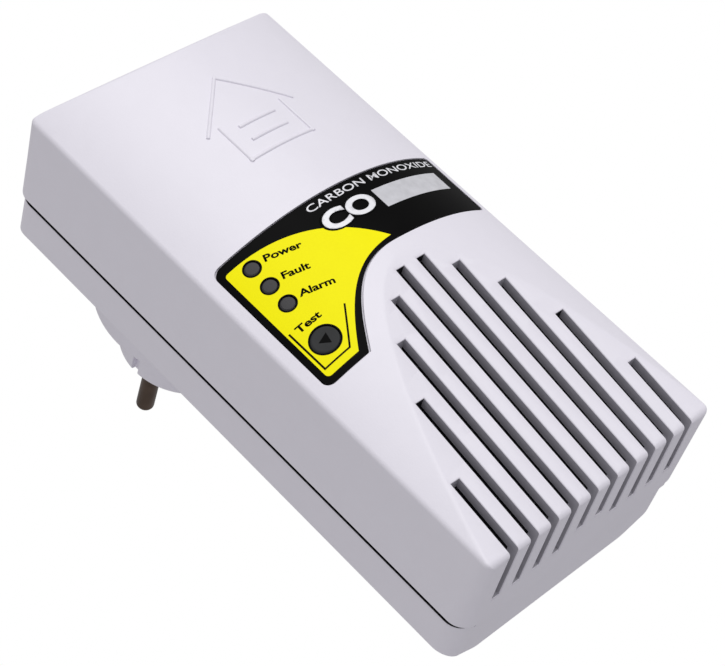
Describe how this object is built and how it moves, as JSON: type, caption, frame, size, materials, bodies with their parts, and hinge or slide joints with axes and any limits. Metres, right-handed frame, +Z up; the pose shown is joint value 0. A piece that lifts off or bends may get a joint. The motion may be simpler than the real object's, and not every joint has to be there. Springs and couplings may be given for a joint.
{
  "type": "carbon monoxide alarm",
  "caption": "Plug-in mains carbon monoxide alarm: long crowned housing with vent slots, a printed panel with indicator windows and a test button, and a two-pin plug on its back.",
  "frame": {"origin": "centre of the plug's engagement face, midway between its two pins", "axes": "+Y along the pins, into the socket; +Z up, along the housing's length; +X across its width, to the right of a person facing the front, which faces -Y"},
  "size_m": [0.075, 0.1049, 0.1514],
  "materials": {
    "white_plastic": "white moulded plastic, satin",
    "window_grey": "smoked translucent plastic, glossy",
    "button_grey": "dark grey plastic, satin",
    "label_film": "yellow and black printed film, semi-gloss",
    "black_plastic": "black moulded plastic, satin",
    "board_green": "green solder-resist coated board",
    "steel": "zinc-plated steel",
    "pin_metal": "darkly plated brass, smooth",
    "brass": "plain brass",
    "lamination": "varnished steel laminations",
    "yellow_tape": "yellow insulating tape and cast box",
    "led_clear": "clear moulded resin",
    "brown_insulation": "brown flexible insulation",
    "blue_insulation": "blue flexible insulation",
    "label_paper": "silver-grey sticker, blank"
  },
  "bodies": {
    "housing": {"front_cover": "white_plastic", "rear_cover": "white_plastic", "label_overlay": "label_film", "operate_light_pipe": "window_grey", "error_light_pipe": "window_grey", "alarm_light_pipe": "window_grey", "operate_led": "led_clear", "error_led": "led_clear", "alarm_led": "led_clear", "switch_body": "black_plastic", "circuit_board": "board_green", "co_sensor_body": "steel", "co_sensor_cap": "black_plastic", "sounder_housing": "black_plastic", "sounder_disc": "brass", "transformer_core": "lamination", "transformer_coil": "yellow_tape", "smoothing_capacitor_1": "black_plastic", "smoothing_capacitor_2": "black_plastic", "suppression_capacitor": "yellow_tape", "varistor": "blue_insulation", "mains_fuse": "steel", "microcontroller": "black_plastic", "voltage_regulator": "black_plastic", "plug_insert": "white_plastic", "live_pin": "pin_metal", "neutral_pin": "pin_metal", "live_lead": "brown_insulation", "neutral_lead": "blue_insulation", "housing_screw_1": "steel", "housing_screw_2": "steel", "housing_screw_3": "steel", "housing_screw_4": "steel", "board_screw_1": "steel", "board_screw_2": "steel", "board_screw_3": "steel", "board_screw_4": "steel", "rating_label": "label_paper"},
    "button": {"test_button": "button_grey"},
    "plunger": {"switch_plunger": "black_plastic"}
  },
  "joints": [
    {"name": "button_press", "type": "slide", "parent": "housing", "child": "button", "axis": [0, 1, 0], "range_m": [0, 0.0005], "stiffness_N_per_m": 300},
    {"name": "plunger_travel", "type": "slide", "parent": "housing", "child": "plunger", "axis": [0, 1, 0], "range_m": [0, 0.0005]}
  ],
  "couplings": [
    {"joint": "plunger_travel", "follows": "button_press", "ratio": 1}
  ]
}
